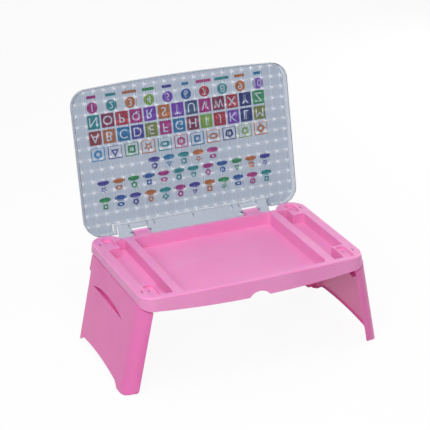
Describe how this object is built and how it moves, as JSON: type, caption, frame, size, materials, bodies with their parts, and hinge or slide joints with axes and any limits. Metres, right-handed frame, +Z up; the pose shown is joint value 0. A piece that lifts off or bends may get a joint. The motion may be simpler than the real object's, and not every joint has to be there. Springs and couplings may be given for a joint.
{
  "type": "folding kids desk",
  "caption": "Child's folding lap desk: moulded tray with a deep pocket and pencil compartments, a clear ribbed lid on rear hinges and splayed panel legs that fold under.",
  "frame": {"origin": "centre of the bounding box's base: on the floor, under the standing desk with its lid open against the stops", "axes": "+X to the right across the desk for somebody sitting at it, +Y to the back where the lid is hinged, +Z up"},
  "size_m": [0.5484, 0.3909, 0.4891],
  "materials": {
    "tray_plastic": "moulded, semi-gloss",
    "leg_plastic": "moulded, semi-gloss",
    "lid_plastic": "translucent, moulded, with a printed outer face",
    "pin_steel": "drawn wire"
  },
  "bodies": {
    "desk": {"tray": "tray_plastic", "left_front_leg_pin": "pin_steel", "left_rear_leg_pin": "pin_steel", "right_front_leg_pin": "pin_steel", "right_rear_leg_pin": "pin_steel"},
    "lid": {"lid": "lid_plastic", "lid_hinge_pin_left": "pin_steel", "lid_hinge_pin_right": "pin_steel"},
    "left_leg": {"left_leg": "leg_plastic"},
    "right_leg": {"right_leg": "leg_plastic"}
  },
  "joints": [
    {"name": "lid_hinge", "type": "hinge", "parent": "desk", "child": "lid", "pos_m": [0, 0.10725, 0.1948], "axis": [1, 0, 0], "range_deg": [0, 103.1]},
    {"name": "left_leg_fold", "type": "hinge", "parent": "desk", "child": "left_leg", "pos_m": [-0.204, 0, 0.183], "axis": [0, -1, 0], "range_deg": [0, 101.3]},
    {"name": "right_leg_fold", "type": "hinge", "parent": "desk", "child": "right_leg", "pos_m": [0.204, 0, 0.183], "axis": [0, 1, 0], "range_deg": [0, 101.3]}
  ]
}
